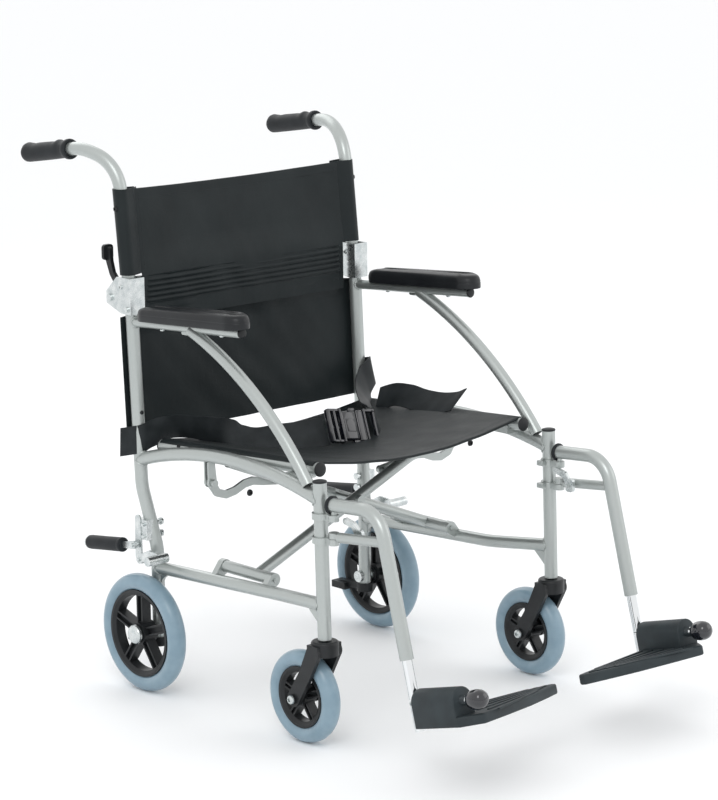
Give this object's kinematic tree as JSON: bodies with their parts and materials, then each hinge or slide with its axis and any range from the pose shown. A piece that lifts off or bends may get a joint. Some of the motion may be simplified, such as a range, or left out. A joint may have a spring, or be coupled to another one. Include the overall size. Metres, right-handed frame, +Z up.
{
  "type": "folding transit wheelchair",
  "caption": "Folding attendant-pushed wheelchair: tube frame, sling seat and back, small solid-tyre wheels, swing-away footrests and a lap belt.",
  "frame": {"origin": "on the floor, under the middle of the chair's box", "axes": "+Z up; the chair faces -Y; +X is the occupant's left"},
  "size_m": [0.582, 1.0659, 0.9134],
  "materials": {
    "frame_silver": "satin silver paint",
    "bracket_zinc": "bright zinc plate",
    "chrome": "polished",
    "tyre_grey": "smooth grey-blue polyurethane",
    "rim_black": "satin moulded nylon",
    "plastic_black": "fine moulded grain",
    "tread_grey": "moulded, ribbed",
    "knob_black": "gloss",
    "grip_rubber": "soft rubber",
    "pad_vinyl": "smooth moulded polyurethane skin",
    "sling_nylon": "woven nylon with a soft sheen",
    "webbing": "ribbed webbing"
  },
  "bodies": {
    "side_frame_right": {"rear_post_right": "frame_silver", "front_upright_right": "frame_silver", "seat_arch_right": "frame_silver", "lower_rail_right": "frame_silver", "arm_frame_right": "frame_silver", "arm_pad_right": "pad_vinyl", "frame_fittings_right": "frame_silver", "back_hinge_right": "bracket_zinc", "rear_axle_right": "bracket_zinc", "tip_pedal_right": "plastic_black", "brake_bracket_right": "bracket_zinc", "back_sling_lower": "sling_nylon", "lap_belt": "webbing"},
    "side_frame_left": {"rear_post_left": "frame_silver", "front_upright_left": "frame_silver", "seat_arch_left": "frame_silver", "lower_rail_left": "frame_silver", "arm_frame_left": "frame_silver", "arm_pad_left": "pad_vinyl", "frame_fittings_left": "frame_silver", "back_hinge_left": "bracket_zinc", "rear_axle_left": "bracket_zinc", "tip_pedal_left": "plastic_black", "brake_bracket_left": "bracket_zinc"},
    "scissor_a": {"cross_brace_a": "frame_silver", "seat_sling": "sling_nylon"},
    "scissor_b": {"cross_brace_b": "frame_silver"},
    "fold_link_left": {"fold_link_left": "frame_silver"},
    "back_upper_left": {"back_cane_left": "frame_silver", "push_grip_left": "grip_rubber"},
    "back_release_left": {"back_release_left": "plastic_black"},
    "rear_wheel_left": {"rear_rim_left": "rim_black", "rear_tyre_left": "tyre_grey"},
    "caster_fork_left": {"caster_fork_left": "rim_black"},
    "caster_wheel_left": {"caster_rim_left": "rim_black", "caster_tyre_left": "tyre_grey"},
    "brake_lever_left": {"brake_lever_left": "grip_rubber"},
    "brake_shoe_left": {"brake_shoe_left": "bracket_zinc"},
    "footrest_hanger_left": {"footrest_hanger_left": "frame_silver"},
    "footrest_latch_left": {"footrest_latch_left": "bracket_zinc"},
    "footrest_slide_left": {"footrest_slide_left": "chrome"},
    "footplate_pin_left": {"footplate_pin_left": "knob_black"},
    "footplate_left": {"footplate_left": "tread_grey"},
    "fold_link_right": {"fold_link_right": "frame_silver"},
    "back_upper_right": {"back_cane_right": "frame_silver", "push_grip_right": "grip_rubber", "back_sling_upper": "sling_nylon"},
    "back_release_right": {"back_release_right": "plastic_black"},
    "rear_wheel_right": {"rear_rim_right": "rim_black", "rear_tyre_right": "tyre_grey"},
    "caster_fork_right": {"caster_fork_right": "rim_black"},
    "caster_wheel_right": {"caster_rim_right": "rim_black", "caster_tyre_right": "tyre_grey"},
    "brake_lever_right": {"brake_lever_right": "grip_rubber"},
    "brake_shoe_right": {"brake_shoe_right": "bracket_zinc"},
    "footrest_hanger_right": {"footrest_hanger_right": "frame_silver"},
    "footrest_latch_right": {"footrest_latch_right": "bracket_zinc"},
    "footrest_slide_right": {"footrest_slide_right": "chrome"},
    "footplate_pin_right": {"footplate_pin_right": "knob_black"},
    "footplate_right": {"footplate_right": "tread_grey"}
  },
  "joints": [
    {"name": "frame_fold", "type": "hinge", "parent": "side_frame_right", "child": "scissor_a", "pos_m": [-0.215, 0.0499, 0.234], "axis": [0, -1, 0], "range_deg": [0, 50], "deforming": ["seat_sling", "back_sling_lower", "back_sling_upper", "lap_belt"]},
    {"name": "scissor_centre", "type": "hinge", "parent": "scissor_a", "child": "scissor_b", "pos_m": [0, 0.0499, 0.322], "axis": [0, -1, 0], "range_deg": [-100, 0]},
    {"name": "scissor_left", "type": "hinge", "parent": "scissor_b", "child": "side_frame_left", "pos_m": [0.215, 0.0869, 0.234], "axis": [0, -1, 0], "range_deg": [0, 50]},
    {"name": "fold_link_right", "type": "hinge", "parent": "side_frame_right", "child": "fold_link_right", "pos_m": [-0.246, 0.0969, 0.38], "axis": [0, -1, 0], "range_deg": [0, 71.5]},
    {"name": "fold_link_left", "type": "hinge", "parent": "side_frame_left", "child": "fold_link_left", "pos_m": [0.246, 0.0409, 0.38], "axis": [0, -1, 0], "range_deg": [-71.5, 0]},
    {"name": "back_fold_right", "type": "hinge", "parent": "side_frame_right", "child": "back_upper_right", "pos_m": [-0.248, 0.3239, 0.658], "axis": [-1, 0, 0], "range_deg": [0, 105]},
    {"name": "back_fold_left", "type": "hinge", "parent": "side_frame_left", "child": "back_upper_left", "pos_m": [0.248, 0.3239, 0.658], "axis": [-1, 0, 0], "range_deg": [0, 105]},
    {"name": "back_release_left", "type": "hinge", "parent": "back_upper_left", "child": "back_release_left", "pos_m": [0.248, 0.3109, 0.681], "axis": [-1, 0, 0], "range_deg": [0, 18]},
    {"name": "rear_wheel_left", "type": "hinge", "parent": "side_frame_left", "child": "rear_wheel_left", "pos_m": [0.2655, 0.2569, 0.1], "axis": [1, 0, 0], "continuous": true},
    {"name": "caster_swivel_left", "type": "hinge", "parent": "side_frame_left", "child": "caster_fork_left", "pos_m": [0.254, -0.1831, 0.178], "axis": [0, 0, 1], "continuous": true},
    {"name": "caster_wheel_left", "type": "hinge", "parent": "caster_fork_left", "child": "caster_wheel_left", "pos_m": [0.254, -0.1341, 0.075], "axis": [1, 0, 0], "continuous": true},
    {"name": "brake_lever_left", "type": "hinge", "parent": "side_frame_left", "child": "brake_lever_left", "pos_m": [0.264, 0.2789, 0.246], "axis": [-1, 0, 0], "range_deg": [0, 36]},
    {"name": "brake_shoe_left", "type": "hinge", "parent": "side_frame_left", "child": "brake_shoe_left", "pos_m": [0.261, 0.2689, 0.222], "axis": [1, 0, 0], "range_deg": [0, 33]},
    {"name": "footrest_swing_left", "type": "hinge", "parent": "side_frame_left", "child": "footrest_hanger_left", "pos_m": [0.251, -0.2051, 0.36], "axis": [0, 0, 1], "range_deg": [0, 90]},
    {"name": "footrest_latch_left", "type": "hinge", "parent": "footrest_hanger_left", "child": "footrest_latch_left", "pos_m": [0.231, -0.2451, 0.35], "axis": [1, 0, 0], "range_deg": [0, 15]},
    {"name": "footrest_length_left", "type": "slide", "parent": "footrest_hanger_left", "child": "footrest_slide_left", "axis": [0, -0.2554, -0.9668], "range_m": [-0.03, 0.05]},
    {"name": "footplate_clear_left", "type": "hinge", "parent": "footrest_slide_left", "child": "footplate_pin_left", "pos_m": [0.251, -0.3831, 0.12], "axis": [0, 0.9668, -0.2554], "range_deg": [0, 90]},
    {"name": "footplate_flip_left", "type": "hinge", "parent": "footplate_pin_left", "child": "footplate_left", "pos_m": [0.251, -0.3831, 0.12], "axis": [0, 0.9668, -0.2554], "range_deg": [0, 90]},
    {"name": "back_release_right", "type": "hinge", "parent": "back_upper_right", "child": "back_release_right", "pos_m": [-0.248, 0.3109, 0.681], "axis": [-1, 0, 0], "range_deg": [0, 18]},
    {"name": "rear_wheel_right", "type": "hinge", "parent": "side_frame_right", "child": "rear_wheel_right", "pos_m": [-0.2655, 0.2569, 0.1], "axis": [1, 0, 0], "continuous": true},
    {"name": "caster_swivel_right", "type": "hinge", "parent": "side_frame_right", "child": "caster_fork_right", "pos_m": [-0.254, -0.1831, 0.178], "axis": [0, 0, 1], "continuous": true},
    {"name": "caster_wheel_right", "type": "hinge", "parent": "caster_fork_right", "child": "caster_wheel_right", "pos_m": [-0.254, -0.1341, 0.075], "axis": [1, 0, 0], "continuous": true},
    {"name": "brake_lever_right", "type": "hinge", "parent": "side_frame_right", "child": "brake_lever_right", "pos_m": [-0.264, 0.2789, 0.246], "axis": [-1, 0, 0], "range_deg": [0, 36]},
    {"name": "brake_shoe_right", "type": "hinge", "parent": "side_frame_right", "child": "brake_shoe_right", "pos_m": [-0.261, 0.2689, 0.222], "axis": [1, 0, 0], "range_deg": [0, 33]},
    {"name": "footrest_swing_right", "type": "hinge", "parent": "side_frame_right", "child": "footrest_hanger_right", "pos_m": [-0.251, -0.2051, 0.36], "axis": [0, 0, -1], "range_deg": [0, 90]},
    {"name": "footrest_latch_right", "type": "hinge", "parent": "footrest_hanger_right", "child": "footrest_latch_right", "pos_m": [-0.231, -0.2451, 0.35], "axis": [1, 0, 0], "range_deg": [0, 15]},
    {"name": "footrest_length_right", "type": "slide", "parent": "footrest_hanger_right", "child": "footrest_slide_right", "axis": [0, -0.2554, -0.9668], "range_m": [-0.03, 0.05]},
    {"name": "footplate_clear_right", "type": "hinge", "parent": "footrest_slide_right", "child": "footplate_pin_right", "pos_m": [-0.251, -0.3831, 0.12], "axis": [0, -0.9668, 0.2554], "range_deg": [0, 90]},
    {"name": "footplate_flip_right", "type": "hinge", "parent": "footplate_pin_right", "child": "footplate_right", "pos_m": [-0.251, -0.3831, 0.12], "axis": [0, -0.9668, 0.2554], "range_deg": [0, 90]}
  ],
  "couplings": [
    {"joint": "scissor_centre", "follows": "frame_fold", "ratio": -2},
    {"joint": "scissor_left", "follows": "frame_fold", "ratio": 1},
    {"joint": "fold_link_right", "follows": "frame_fold", "ratio": 1.43},
    {"joint": "fold_link_left", "follows": "frame_fold", "ratio": -1.43},
    {"joint": "back_fold_left", "follows": "back_fold_right", "ratio": 1},
    {"joint": "brake_shoe_left", "follows": "brake_lever_left", "ratio": 0.91667},
    {"joint": "footplate_clear_left", "follows": "frame_fold", "ratio": 1.8},
    {"joint": "brake_shoe_right", "follows": "brake_lever_right", "ratio": 0.91667},
    {"joint": "footplate_clear_right", "follows": "frame_fold", "ratio": 1.8}
  ]
}
